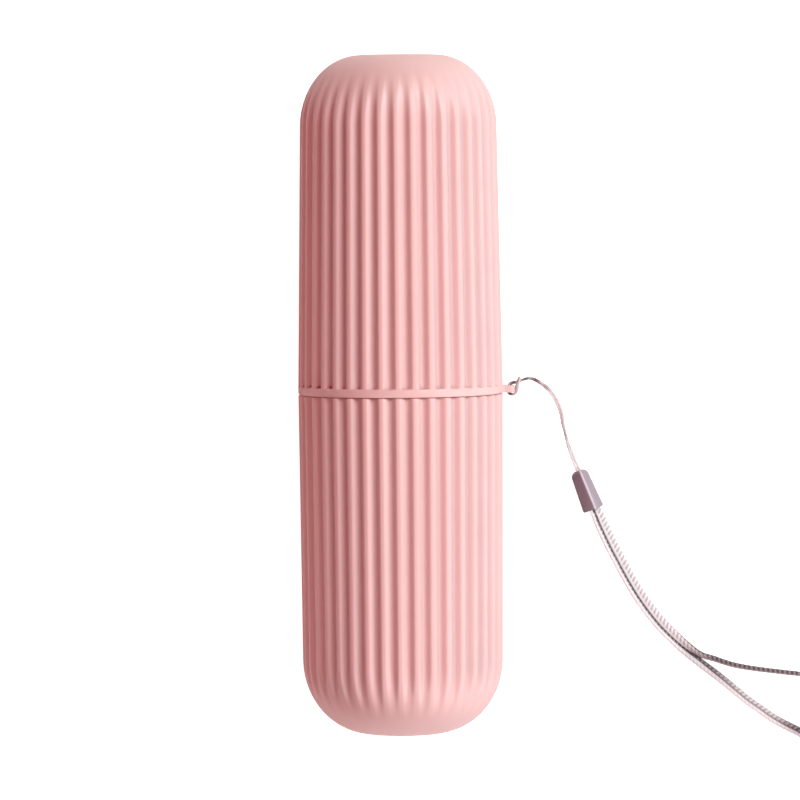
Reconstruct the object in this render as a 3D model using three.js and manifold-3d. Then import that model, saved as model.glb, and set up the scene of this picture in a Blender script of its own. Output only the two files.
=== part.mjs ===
import * as THREE from 'three';
import { mergeVertices } from 'three/addons/utils/BufferGeometryUtils.js';
import Module from 'manifold-3d';

// Toothbrush travel case: two fluted halves that push together over a neck sleeve, with a wrist strap.
// It lies on its side, as it is photographed from above. Lengths are millimetres.
// The case's axis runs along Y: the upper half's closed end faces +Y and the lower half's flat base faces -Y.
// The strap eye faces +X, and Z is up from the surface that the case lies on.

// Outer sizes of the two halves, taken over the rib crests
const cupLength = 100.1;
const capLength = 99.6;
const partingGap = 0.3;
const seamRadius = 30.2;
const cupTaper = 0.6;
const cupDomeLength = 22;
const cupFlatRadius = 10;
const capTaper = 1.2;
const capDomeLength = 21;
const capFlatRadius = 11;
const wall = 1.2;
const endWall = 2;

// Ribs: how deep the valleys are, and where they fade out towards each closed end
const ribCount = 38;
const ribDepth = 1.3;
const ribTurn = THREE.MathUtils.degToRad(-1.5);
const capFadeStart = 19;
const capFadeEnd = 6;
const cupFadeStart = 19;
const cupFadeEnd = 5;
const rimChamfer = 0.4;

// Each rib has four corners: two on its crest and two in the valley, as shares of the pitch
const ribCornerShares = [-0.15, 0.15, 0.38, 0.62];
const ribCornerDepthShares = [0, 0, 1, 1];

// The smooth band round the upper half's rim, with the strap eye on it
const bandHeight = 2.2;
const bandLedge = 0.3;
const eyeProjection = 3.4;
const eyeWidth = 6;
const eyeThickness = 2.1;
const eyeCornerRadius = 1.5;
const eyeRoot = 1.4;
const eyeHoleWidth = 1.6;
const eyeHoleLength = 3;
const eyeHoleInset = 0.7;

// The neck sleeve: pressed into the upper half, and a sliding fit in the lower half
const sleeveSeatDepth = 12;
const sleeveNeckLength = 14;
const sleeveWall = 1.4;
const sleeveClearance = 0.3;
const sleeveChamfer = 0.8;
const gripBeadHeight = 0.12;
const gripBeadLength = 1.6;
const gripBeadDrop = 5;
const stopLedge = 0.7;

// The connector between the string and the wrist cord
const connectorLength = 12.45;
const connectorTopWidth = 4.5;
const connectorMouthWidth = 5.9;
const connectorHeight = 4.1;
const connectorShoulderHeight = 2.1;
const connectorRidgeWidth = 0.5;
const connectorCornerRadius = 1.2;
const connectorWall = 0.55;
const connectorEndWall = 1.5;
const connectorX = 53.53;
const connectorY = -24.78;
const connectorHeading = THREE.MathUtils.degToRad(18.8);
const stringHoleWidth = 2.6;
const stringHoleHeight = 1.5;
const stringHoleLift = 0.85;
const plugClearance = 0.3;
const plugStart = 4.2;
const plugLength = 4;

// Cords
const stringDiameter = 0.85;
const wristCordDiameter = 1.8;

// Cuts run past the faces that they go through by this much
const overrun = 1;

// Facets
const roundColumns = 48;
const domeSteps = 7;
const innerDomeSteps = 5;
const cordSides = 8;
const hitchSteps = 24;
const legSteps = 19;
const wristCordSteps = 56;

// The string is one closed loop. This stretch is its hitch: up through the eye, round the eye's outer end
// and over both legs, as points (distance from the case's axis, along the axis, height).
const hitchPoints = [
  [33.4, 3.42, 30.78], [32.7, 3.25, 30.78], [32.15, 2.98, 30.78], [31.8, 2.5, 30.78],
  [31.7, 1.6, 30.78], [31.7, 0.6, 30.78], [31.95, -0.1, 30.82], [32.7, -0.42, 31.1],
  [33.55, -0.32, 31.5], [34.1, 0.35, 31.75], [34.28, 1.5, 31.82], [34.42, 2.7, 31.84],
  [34.58, 3.75, 31.8], [34.72, 4.42, 31.35], [34.76, 4.64, 30.75],
  [34.76, 4.68, 30.2],
  [34.76, 4.64, 29.65], [34.72, 4.42, 29.05], [34.58, 3.75, 28.6], [34.42, 2.7, 28.56],
  [34.28, 1.5, 28.58], [34.1, 0.35, 28.65], [33.55, -0.32, 28.9], [32.7, -0.42, 29.3],
  [31.95, -0.1, 29.58], [31.7, 0.6, 29.62], [31.7, 1.6, 29.62], [31.8, 2.5, 29.62],
  [32.15, 2.98, 29.62], [32.7, 3.25, 29.62], [33.4, 3.42, 29.62],
];

// The two legs of the string, from the hitch to the connector: one above the other at the eye,
// side by side over the arc, crossed half way down, and side by side again at the connector.
const upperLegPoints = [
  [33.3, 3.4, 30.78], [34.2, 3.5, 30.78], [34.96, 3.65, 30.78], [35.98, 4.31, 30.71], [37.47, 4.85, 30.58],
  [39.25, 4.65, 30.39], [40.94, 3.77, 29.95], [42.92, 2.38, 28.93], [44.88, 0.32, 26.99],
  [46.52, -2.44, 24.15], [47.95, -6.32, 19.51], [48.81, -10.63, 14.27], [49.09, -13.38, 10.91],
  [49.89, -17.04, 7.27], [50.82, -19.85, 4.91], [51.81, -22.5, 3.01], [52.87, -25.12, 1.85],
  [53.52, -26.76, 1.6], [54.19, -28.65, 1.6],
];
const lowerLegPoints = [
  [33.3, 3.4, 29.62], [34.2, 3.5, 29.62], [35.04, 3.59, 29.62], [36.22, 3.79, 29.89], [37.53, 3.99, 30.26],
  [38.95, 3.79, 30.31], [40.46, 2.99, 29.95], [42.28, 1.72, 28.87], [44.08, -0.1, 26.81],
  [45.65, -2.51, 23.85], [47.18, -6.03, 19.09], [48.33, -10.05, 13.73], [49.01, -12.71, 10.29],
  [50.31, -16.43, 6.73], [51.52, -19.35, 4.59], [52.63, -22.1, 2.89], [53.73, -24.78, 1.85],
  [54.38, -26.44, 1.6], [55.05, -28.35, 1.6],
];

// The wrist cord: out of the connector as two strands side by side, which part and close in a wide bight
const wristCordPoints = [
  [57.26, -32.5, 1.6], [58.5, -36.2, 1.6], [60.4, -40.6, 1.1], [63.94, -48.5, 0.9], [69.4, -58.35, 0.9],
  [74.2, -66.3, 0.9], [80.2, -73.6, 0.9], [87, -79], [93.6, -81.6], [100.3, -83.8],
  [108.9, -85.45], [119.3, -86.8], [131, -88], [145, -91.5], [158, -99], [164.5, -110],
  [160, -121.5], [148.5, -125], [137.5, -119], [128, -111.2], [119.2, -104.4], [110.7, -98.75],
  [102.7, -93.1], [95.3, -87.6], [86.1, -81.8], [78.7, -75.2], [72.45, -67.55], [67.55, -59.4],
  [62.05, -49.45], [58.3, -41.3, 1.1], [56.5, -36.9, 1.6], [55.25, -33.15, 1.6],
];

// Places that follow from the sizes. The case is centred on Y, and lies on the band's rim.
const cupBaseY = -(cupLength + partingGap + capLength) / 2;
const cupRimY = cupBaseY + cupLength;
const capRimY = cupRimY + partingGap;
const capEndY = capRimY + capLength;
const bandTopY = capRimY + bandHeight;
const cupShoulderRadius = seamRadius - cupTaper;
const capShoulderRadius = seamRadius - capTaper;
const skin = ribDepth + wall;
const mouthRadius = seamRadius - skin;
const sleeveRadius = mouthRadius - sleeveClearance;
const sleeveTopY = capRimY + sleeveSeatDepth;
const sleeveBottomY = cupRimY - sleeveNeckLength;
const stopY = sleeveTopY + sleeveClearance;
const axisHeight = seamRadius;
const axisX = -eyeProjection / 2;

const wasm = await Module();
wasm.setup();

function solidOf(geometry) {
  geometry.deleteAttribute('normal');
  geometry.deleteAttribute('uv');
  const merged = mergeVertices(geometry);
  const vertProperties = merged.attributes.position.array;
  const triVerts = new Uint32Array(merged.index.array);
  return new wasm.Manifold(new wasm.Mesh({ numProp: 3, vertProperties, triVerts }));
}

function geometryOf(solid) {
  const { vertProperties, triVerts } = solid.getMesh();
  const geometry = new THREE.BufferGeometry();
  geometry.setAttribute('position', new THREE.BufferAttribute(vertProperties, 3));
  geometry.setIndex(new THREE.BufferAttribute(triVerts, 1));
  return geometry;
}

function part(name, geometry, color, roughness) {
  const material = new THREE.MeshStandardMaterial({ color, roughness, metalness: 0 });
  const mesh = new THREE.Mesh(geometry, material);
  mesh.name = name;
  return mesh;
}

// A solid of revolution about the case's axis, from (radius, y) points
function turned(points, columns) {
  return new THREE.LatheGeometry(points.map(([radius, y]) => new THREE.Vector2(radius, y)), columns);
}

// Presses the valleys into a turned shape that has one column for each rib corner.
// depthAt gives the valleys' share of their full depth at a height.
function flute(geometry, depthAt) {
  const position = geometry.attributes.position;
  const corners = ribCornerShares.length;
  const columns = ribCount * corners;
  for (let i = 0; i < position.count; i++) {
    const radius = Math.hypot(position.getX(i), position.getZ(i));
    const angle = Math.atan2(position.getX(i), position.getZ(i));
    const column = (Math.round((angle / (2 * Math.PI)) * columns) + columns) % columns;
    const rib = Math.floor(column / corners);
    const corner = column % corners;
    const turn = ribTurn + ((rib + ribCornerShares[corner]) / ribCount) * 2 * Math.PI;
    const valley = ribDepth * ribCornerDepthShares[corner] * depthAt(position.getY(i));
    const fluted = Math.max(radius - valley, 0);
    position.setX(i, fluted * Math.sin(turn));
    position.setZ(i, fluted * Math.cos(turn));
  }
  return geometry;
}

// Points along a quarter ellipse, from the shoulder to the flat at the closed end
function dome(shoulderRadius, flatRadius, shoulderY, endY, steps) {
  const points = [];
  for (let i = 0; i <= steps; i++) {
    const turn = (i / steps) * (Math.PI / 2);
    const radius = flatRadius + (shoulderRadius - flatRadius) * Math.cos(turn);
    points.push([radius, shoulderY + (endY - shoulderY) * Math.sin(turn)]);
  }
  return points;
}

const capShoulderY = capEndY - capDomeLength;
const cupShoulderY = cupBaseY + cupDomeLength;

// The strap eye: a round-cornered tab that grows out of the band, with a slot along the case's axis
function eyeSolid() {
  const root = seamRadius - eyeRoot;
  const tip = seamRadius + eyeProjection;
  const half = eyeWidth / 2;
  const outline = new THREE.Shape();
  outline.moveTo(root, -half);
  outline.lineTo(tip - eyeCornerRadius, -half);
  outline.absarc(tip - eyeCornerRadius, eyeCornerRadius - half, eyeCornerRadius, -Math.PI / 2, 0);
  outline.absarc(tip - eyeCornerRadius, half - eyeCornerRadius, eyeCornerRadius, 0, Math.PI / 2);
  outline.lineTo(root, half);
  const slotRadius = eyeHoleWidth / 2;
  const slotX = seamRadius + eyeHoleInset + slotRadius;
  const slotEnd = eyeHoleLength / 2 - slotRadius;
  const slot = new THREE.Path();
  slot.absarc(slotX, slotEnd, slotRadius, 0, Math.PI);
  slot.absarc(slotX, -slotEnd, slotRadius, Math.PI, 2 * Math.PI);
  outline.holes.push(slot);
  const geometry = new THREE.ExtrudeGeometry(outline, {
    depth: eyeThickness, bevelEnabled: false, curveSegments: 3,
  });
  geometry.rotateX(-Math.PI / 2);
  geometry.translate(0, capRimY, 0);
  return solidOf(geometry);
}

// Upper half: a fluted shell whose crests run into the smooth band at its rim
function upperCap() {
  const outside = [
    [0, capRimY],
    [seamRadius, capRimY],
    [seamRadius, bandTopY],
    [seamRadius, bandTopY + bandLedge],
    ...dome(capShoulderRadius, capFlatRadius, capShoulderY, capEndY, domeSteps),
    [0, capEndY],
  ];
  const depthAt = (y) => {
    if (y < bandTopY + bandLedge / 2) return 0;
    return THREE.MathUtils.smoothstep(capEndY - y, capFadeEnd, capFadeStart);
  };
  const shell = solidOf(flute(turned(outside, ribCount * ribCornerShares.length), depthAt));
  const bore = solidOf(turned([
    [0, capRimY - overrun],
    [mouthRadius, capRimY - overrun],
    [mouthRadius, stopY],
    [mouthRadius - stopLedge, stopY],
    ...dome(capShoulderRadius - skin, capFlatRadius, capShoulderY, capEndY - endWall, innerDomeSteps),
    [0, capEndY - endWall],
  ], roundColumns));
  return geometryOf(shell.add(eyeSolid()).subtract(bore));
}

// Lower half: a fluted shell, a little longer, that stands on the flat of its dome
function lowerCup() {
  const outside = [
    [0, cupBaseY],
    ...dome(cupShoulderRadius, cupFlatRadius, cupShoulderY, cupBaseY, domeSteps).reverse(),
    [seamRadius, cupRimY - rimChamfer],
    [seamRadius - rimChamfer, cupRimY],
    [0, cupRimY],
  ];
  const depthAt = (y) => THREE.MathUtils.smoothstep(y - cupBaseY, cupFadeEnd, cupFadeStart);
  const shell = solidOf(flute(turned(outside, ribCount * ribCornerShares.length), depthAt));
  const innerEndY = cupBaseY + endWall;
  const innerDome = dome(cupShoulderRadius - skin, cupFlatRadius, cupShoulderY, innerEndY, innerDomeSteps);
  const bore = solidOf(turned([
    [0, innerEndY],
    ...innerDome.reverse(),
    [mouthRadius, sleeveBottomY],
    [mouthRadius, cupRimY + overrun],
    [0, cupRimY + overrun],
  ], roundColumns));
  return geometryOf(shell.subtract(bore));
}

// Neck sleeve: a plain ring with a lead-in at its lower edge and a low grip bead
function neckSleeve() {
  const beadTop = cupRimY - gripBeadDrop;
  const bore = sleeveRadius - sleeveWall;
  const ring = [
    [bore, sleeveBottomY],
    [sleeveRadius - sleeveChamfer, sleeveBottomY],
    [sleeveRadius, sleeveBottomY + sleeveChamfer],
    [sleeveRadius, beadTop - gripBeadLength],
    [sleeveRadius + gripBeadHeight, beadTop - gripBeadLength / 2],
    [sleeveRadius, beadTop],
    [sleeveRadius, sleeveTopY],
    [bore, sleeveTopY],
    [bore, sleeveBottomY],
  ];
  return turned(ring, roundColumns);
}

// A tube along hand-chosen points; a point without a height lies on the surface below
function cord(points, diameter, steps) {
  const path = new THREE.CatmullRomCurve3(
    points.map(([x, y, z = diameter / 2]) => new THREE.Vector3(x, y, z)), false, 'centripetal',
  );
  const section = new THREE.Shape();
  section.absarc(0, 0, diameter / 2, 0, 2 * Math.PI);
  return new THREE.ExtrudeGeometry(section, {
    steps, curveSegments: cordSides / 2, bevelEnabled: false, extrudePath: path,
  });
}

// The string's hitch and legs are one loop of string
function stringLoop() {
  const hitch = solidOf(cord(hitchPoints, stringDiameter, hitchSteps));
  const upperLeg = solidOf(cord(upperLegPoints, stringDiameter, legSteps));
  const lowerLeg = solidOf(cord(lowerLegPoints, stringDiameter, legSteps));
  return geometryOf(hitch.add(upperLeg).add(lowerLeg));
}

// The connector's section: a flat back with a roof that rises to a ridge, drawn in by a wall all round
function roofSection(inset) {
  const half = connectorMouthWidth / 2;
  const ridgeHalf = connectorRidgeWidth / 2;
  const slope = Math.atan2(connectorHeight - connectorShoulderHeight, half - ridgeHalf);
  const drop = inset / Math.cos(slope);
  const shoulder = connectorShoulderHeight + inset * Math.tan(slope) - drop;
  const section = new THREE.Shape();
  section.moveTo(inset - half, inset);
  section.lineTo(half - inset, inset);
  section.lineTo(half - inset, shoulder);
  section.lineTo(ridgeHalf, connectorHeight - drop);
  section.lineTo(-ridgeHalf, connectorHeight - drop);
  section.lineTo(inset - half, shoulder);
  return section;
}

// The connector's plan, seen on its ridge: it widens from its round-cornered top to its open mouth
function planOutline(inset, start, end, cornerRadius) {
  const halfAt = (along) =>
    THREE.MathUtils.lerp(connectorTopWidth, connectorMouthWidth, along / connectorLength) / 2 - inset;
  const outline = new THREE.Shape();
  outline.moveTo(-halfAt(end), end);
  outline.lineTo(-halfAt(start + cornerRadius), start + cornerRadius);
  outline.quadraticCurveTo(-halfAt(start), start, cornerRadius - halfAt(start), start);
  outline.lineTo(halfAt(start) - cornerRadius, start);
  outline.quadraticCurveTo(halfAt(start), start, halfAt(start + cornerRadius), start + cornerRadius);
  outline.lineTo(halfAt(end), end);
  return outline;
}

// In the connector's own frame X is across it, Y is up from its flat back, and Z runs towards its mouth
function ridgedBlock(inset, start, end, cornerRadius) {
  const bar = new THREE.ExtrudeGeometry(roofSection(inset), { depth: end - start, bevelEnabled: false });
  bar.translate(0, 0, start);
  const plan = new THREE.ExtrudeGeometry(planOutline(inset, start, end, cornerRadius), {
    depth: connectorHeight + 2 * overrun, bevelEnabled: false, curveSegments: 4,
  });
  plan.rotateX(Math.PI / 2);
  plan.translate(0, connectorHeight + overrun, 0);
  return solidOf(bar).intersect(solidOf(plan));
}

function connectorSleeve() {
  const body = ridgedBlock(0, 0, connectorLength, connectorCornerRadius);
  const bore = ridgedBlock(connectorWall, connectorEndWall, connectorLength + overrun, 0);
  const hole = new THREE.BoxGeometry(stringHoleWidth, stringHoleHeight, connectorEndWall + 2 * overrun);
  hole.translate(0, stringHoleLift + stringHoleHeight / 2, connectorEndWall / 2);
  return geometryOf(body.subtract(bore).subtract(solidOf(hole)));
}

function connectorPlug() {
  return geometryOf(ridgedBlock(connectorWall + plugClearance, plugStart, plugStart + plugLength, 0));
}

const casePink = 0xe9b0ac;
const sleevePink = 0xf0c4bf;
const stringBeige = 0xe2c4bd;
const connectorMauve = 0x9f8a98;
const cordWhite = 0xeee4e6;

const travelCase = new THREE.Group();

const shells = new THREE.Group();
shells.position.set(axisX, 0, axisHeight);
shells.add(part('upper_cap', upperCap(), casePink, 0.5));
shells.add(part('lower_cup', lowerCup(), casePink, 0.5));
shells.add(part('neck_sleeve', neckSleeve(), sleevePink, 0.4));
travelCase.add(shells);

const strap = new THREE.Group();
strap.position.set(axisX, 0, 0);
strap.add(part('string_loop', stringLoop(), stringBeige, 0.6));
strap.add(part('wrist_cord', cord(wristCordPoints, wristCordDiameter, wristCordSteps), cordWhite, 0.7));

const connector = new THREE.Group();
connector.position.set(connectorX, connectorY, 0);
connector.rotation.set(Math.PI / 2, 0, connectorHeading, 'ZYX');
connector.add(part('connector_sleeve', connectorSleeve(), connectorMauve, 0.35));
connector.add(part('connector_plug', connectorPlug(), connectorMauve, 0.5));
strap.add(connector);
travelCase.add(strap);

export default travelCase;
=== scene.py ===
import math

import bmesh
import bpy
import numpy as np
from mathutils import Matrix, Vector
from mathutils.kdtree import KDTree


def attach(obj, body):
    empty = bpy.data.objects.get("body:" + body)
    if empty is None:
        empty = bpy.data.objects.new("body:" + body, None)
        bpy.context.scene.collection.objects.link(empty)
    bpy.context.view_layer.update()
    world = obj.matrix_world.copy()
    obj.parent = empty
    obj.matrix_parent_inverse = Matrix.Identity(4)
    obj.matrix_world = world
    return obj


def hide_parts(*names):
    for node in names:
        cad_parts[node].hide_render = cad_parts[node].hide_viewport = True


# Toothbrush travel case with a wrist strap, lying on a pale table and photographed from above.
# The world is metres. The pieces' dictionaries give millimetres, as the maker's drawing does.
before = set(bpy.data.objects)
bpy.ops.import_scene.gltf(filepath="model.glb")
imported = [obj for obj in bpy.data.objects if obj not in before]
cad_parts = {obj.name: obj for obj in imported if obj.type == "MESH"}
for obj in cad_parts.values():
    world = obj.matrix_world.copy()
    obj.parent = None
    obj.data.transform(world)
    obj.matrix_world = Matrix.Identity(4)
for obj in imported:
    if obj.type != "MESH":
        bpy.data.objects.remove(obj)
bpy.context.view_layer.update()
mm = 0.001
mergeDistance = 0.002 * mm  # points closer than this are one point
scene = bpy.context.scene
print("frame loaded")

# Where the case lies: its axis runs along Y, and the strap eye faces +X
caseLie = {
    "axisX": -1.7,
    "axisZ": 30.2,
}

camera = {
    "distance": 1500.0,
    "lean": 0.048,  # radians off straight down, towards the cap
    "roll": 0.009,
    "pixelsPerMm": 3.39,
    "frame": 800.0,
    "caseCentre": (400.77, 394.45),  # pixel of the case's centre
    "sensor": 36.0,
}


def makeCamera(spec):
    lean, roll = spec["lean"], spec["roll"]
    right = Vector((1.0, 0.0, 0.0))
    up = Vector((0.0, math.cos(lean), -math.sin(lean)))
    back = Vector((0.0, math.sin(lean), math.cos(lean)))
    turnedRight = right * math.cos(roll) - up * math.sin(roll)
    turnedUp = right * math.sin(roll) + up * math.cos(roll)
    half = spec["frame"] / 2
    shiftRight = (spec["caseCentre"][0] - half) / spec["pixelsPerMm"]
    shiftUp = (half - spec["caseCentre"][1]) / spec["pixelsPerMm"]
    centre = Vector((caseLie["axisX"], 0.0, caseLie["axisZ"]))
    place = centre - turnedRight * shiftRight - turnedUp * shiftUp + back * spec["distance"]
    data = bpy.data.cameras.new("camera")
    data.type = "PERSP"
    data.sensor_width = spec["sensor"]
    data.lens = spec["sensor"] * spec["distance"] * spec["pixelsPerMm"] / spec["frame"]
    data.clip_start = 0.1
    data.clip_end = 10.0
    made = bpy.data.objects.new("camera", data)
    turn = Matrix((turnedRight, turnedUp, back)).transposed().to_4x4()
    made.matrix_world = Matrix.Translation(place * mm) @ turn
    scene.collection.objects.link(made)
    scene.camera = made


makeCamera(camera)
print("camera placed")


def meshObject(name, verts, faces, smooth=True):
    mesh = bpy.data.meshes.new(name)
    mesh.from_pydata([tuple(v) for v in verts], [], faces)
    mesh.validate()
    if smooth:
        mesh.polygons.foreach_set("use_smooth", [True] * len(mesh.polygons))
    made = bpy.data.objects.new(name, mesh)
    scene.collection.objects.link(made)
    return made


def faceOutwards(made, merge=0.0):
    work = bmesh.new()
    work.from_mesh(made.data)
    if merge:
        bmesh.ops.remove_doubles(work, verts=work.verts, dist=merge)
    bmesh.ops.recalc_face_normals(work, faces=work.faces)
    work.to_mesh(made.data)
    work.free()
    made.data.update()


def pointAttribute(made, name, values):
    attribute = made.data.attributes.new(name, "FLOAT", "POINT")
    attribute.data.foreach_set("value", np.asarray(values, np.float32))


def smoothLine(points, step):  # a centripetal Catmull-Rom curve through the points, cut into equal steps
    cutsPerSpan = 40
    p = np.array(points, float)
    p = np.vstack([2 * p[0] - p[1], p, 2 * p[-1] - p[-2]])
    out = []
    for i in range(1, len(p) - 2):
        p0, p1, p2, p3 = p[i - 1:i + 3]
        spans = [max(np.linalg.norm(b[:3] - a[:3]), 1e-9) ** 0.5 for a, b in ((p0, p1), (p1, p2), (p2, p3))]
        t0, t1, t2, t3 = 0.0, *np.cumsum(spans)
        for t in np.linspace(t1, t2, cutsPerSpan, endpoint=False):
            a1 = (t1 - t) / (t1 - t0) * p0 + (t - t0) / (t1 - t0) * p1
            a2 = (t2 - t) / (t2 - t1) * p1 + (t - t1) / (t2 - t1) * p2
            a3 = (t3 - t) / (t3 - t2) * p2 + (t - t2) / (t3 - t2) * p3
            b1 = (t2 - t) / (t2 - t0) * a1 + (t - t0) / (t2 - t0) * a2
            b2 = (t3 - t) / (t3 - t1) * a2 + (t - t1) / (t3 - t1) * a3
            out.append((t2 - t) / (t2 - t1) * b1 + (t - t1) / (t2 - t1) * b2)
    out.append(p[-2])
    out = np.array(out)
    along = np.concatenate([[0], np.cumsum(np.linalg.norm(np.diff(out[:, :3], axis=0), axis=1))])
    count = max(int(round(along[-1] / step)), 2)
    at = np.linspace(0, along[-1], count + 1)
    return np.stack([np.interp(at, along, out[:, k]) for k in range(out.shape[1])], axis=1), at


def smoothStep(value):
    value = np.clip(value, 0.0, 1.0)
    return value * value * (3 - 2 * value)


def unit(v):
    return v / np.linalg.norm(v, axis=-1, keepdims=True)


def tangents(line):
    return unit(np.gradient(line, axis=0))


def carriedFrames(line):  # a pair of cross directions carried along a line without spin
    t = tangents(line)
    side = np.cross(t[0], (0.0, 0.0, 1.0))
    if np.linalg.norm(side) < 1e-6:
        side = np.array((1.0, 0.0, 0.0))
    sides = []
    for tangent in t:
        side = side - tangent * np.dot(side, tangent)
        side = side / np.linalg.norm(side)
        sides.append(side)
    sides = np.array(sides)
    return sides, np.cross(sides, t)


def sweep(name, line, sides, ups, sectionX, sectionY):  # rings of a section along a line, closed at its ends
    rings, count = sectionX.shape
    verts = line[:, None] + sides[:, None] * sectionX[..., None] + ups[:, None] * sectionY[..., None]
    verts = verts.reshape(-1, 3)
    faces = []
    for i in range(rings - 1):
        for j in range(count):
            k = (j + 1) % count
            faces.append((i * count + j, i * count + k, (i + 1) * count + k, (i + 1) * count + j))
    first, last = len(verts), len(verts) + 1
    verts = np.vstack([verts, line[0], line[-1]])
    for j in range(count):
        k = (j + 1) % count
        faces.append((first, k, j))
        faces.append((last, (rings - 1) * count + j, (rings - 1) * count + k))
    made = meshObject(name, verts * mm, faces)
    faceOutwards(made)
    return made


# A painted contact shadow: 1 where one run of a cord touches another and 0 where it is clear. Heights are
# scaled by rise, so that a run lying over another counts as near it.
def contactMask(made, runs, near, far, rise):
    verts = np.empty(len(made.data.vertices) * 3)
    made.data.vertices.foreach_get("co", verts)
    verts = verts.reshape(-1, 3) * (1.0, 1.0, rise)
    mask = np.zeros(len(verts))
    for own, other in runs:
        tree = KDTree(len(other))
        for i in other:
            tree.insert(verts[i], i)
        tree.balance()
        gaps = np.array([tree.find(verts[i])[2] for i in own]) / mm
        mask[own] = np.maximum(mask[own], np.clip((far - gaps) / (far - near), 0, 1))
    return mask


# Material helpers. A finish gives the scale of the surface's grain and of its blotches, the strength and
# depth of the grain's bump, the lowest and highest roughness, and how far the blotches change the colour.
def principled(tree):
    return next(n for n in tree.nodes if n.type == "BSDF_PRINCIPLED")


def newMaterial(name):
    made = bpy.data.materials.new(name)
    made.use_nodes = True
    tree = made.node_tree
    return made, tree, principled(tree)


def addNode(tree, kind, **values):
    node = tree.nodes.new(kind)
    for key, value in values.items():
        setattr(node, key, value)
    return node


def wire(tree, pairs):
    for out, into in pairs:
        tree.links.new(out, into)


def fineGrainGroup():  # moulded or spun surface grain: a height for bump, and a mask that varies slowly
    group = bpy.data.node_groups.new("fineGrain", "ShaderNodeTree")
    face = group.interface
    face.new_socket("Grain Size", in_out="INPUT", socket_type="NodeSocketFloat").default_value = 4000.0
    face.new_socket("Blotch Size", in_out="INPUT", socket_type="NodeSocketFloat").default_value = 60.0
    face.new_socket("Height", in_out="OUTPUT", socket_type="NodeSocketFloat")
    face.new_socket("Blotch", in_out="OUTPUT", socket_type="NodeSocketFloat")
    start = group.nodes.new("NodeGroupInput")
    end = group.nodes.new("NodeGroupOutput")
    place = group.nodes.new("ShaderNodeTexCoord")
    grain = addNode(group, "ShaderNodeTexNoise", noise_dimensions="3D")
    grain.inputs["Detail"].default_value = 3.0
    blotch = addNode(group, "ShaderNodeTexNoise", noise_dimensions="3D")
    blotch.inputs["Detail"].default_value = 2.0
    wire(group, (
        (place.outputs["Object"], grain.inputs["Vector"]),
        (place.outputs["Object"], blotch.inputs["Vector"]),
        (start.outputs["Grain Size"], grain.inputs["Scale"]),
        (start.outputs["Blotch Size"], blotch.inputs["Scale"]),
        (grain.outputs["Fac"], end.inputs["Height"]),
        (blotch.outputs["Fac"], end.inputs["Blotch"]),
    ))
    return group


fineGrain = fineGrainGroup()


def grained(tree, shader, finish):
    grain = addNode(tree, "ShaderNodeGroup", node_tree=fineGrain)
    grain.inputs["Grain Size"].default_value = finish["grain"]
    grain.inputs["Blotch Size"].default_value = finish["blotch"]
    lift = addNode(tree, "ShaderNodeBump")
    lift.inputs["Strength"].default_value = finish["bump"]
    lift.inputs["Distance"].default_value = finish["bumpDepth"] * mm
    spread = addNode(tree, "ShaderNodeMapRange")
    spread.inputs["To Min"].default_value, spread.inputs["To Max"].default_value = finish["roughness"]
    wire(tree, (
        (grain.outputs["Height"], lift.inputs["Height"]),
        (lift.outputs["Normal"], shader.inputs["Normal"]),
        (grain.outputs["Blotch"], spread.inputs["Value"]),
        (spread.outputs["Result"], shader.inputs["Roughness"]),
    ))
    return grain


def shaded(tree, shader, maskName, openColour, deepColour, grain, blotchShare):
    mask = addNode(tree, "ShaderNodeAttribute", attribute_name=maskName)
    mix = addNode(tree, "ShaderNodeMix", data_type="RGBA")
    mix.inputs["A"].default_value = (*openColour, 1.0)
    mix.inputs["B"].default_value = (*deepColour, 1.0)
    dim = addNode(tree, "ShaderNodeMapRange")
    dim.inputs["To Min"].default_value = 1.0 - blotchShare
    dim.inputs["To Max"].default_value = 1.0 + blotchShare
    tint = addNode(tree, "ShaderNodeVectorMath", operation="SCALE")
    wire(tree, (
        (mask.outputs["Fac"], mix.inputs["Factor"]),
        (mix.outputs["Result"], tint.inputs[0]),
        (grain.outputs["Blotch"], dim.inputs["Value"]),
        (dim.outputs["Result"], tint.inputs["Scale"]),
        (tint.outputs["Vector"], shader.inputs["Base Color"]),
    ))


# The colour runs from openColour to deepColour by a mask stored on the mesh, with a slow blotch over it
def maskedMaterial(name, finish, maskName, openColour, deepColour):
    material, tree, shader = newMaterial(name)
    grain = grained(tree, shader, finish)
    shaded(tree, shader, maskName, openColour, deepColour, grain, finish["tone"])
    return material


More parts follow.
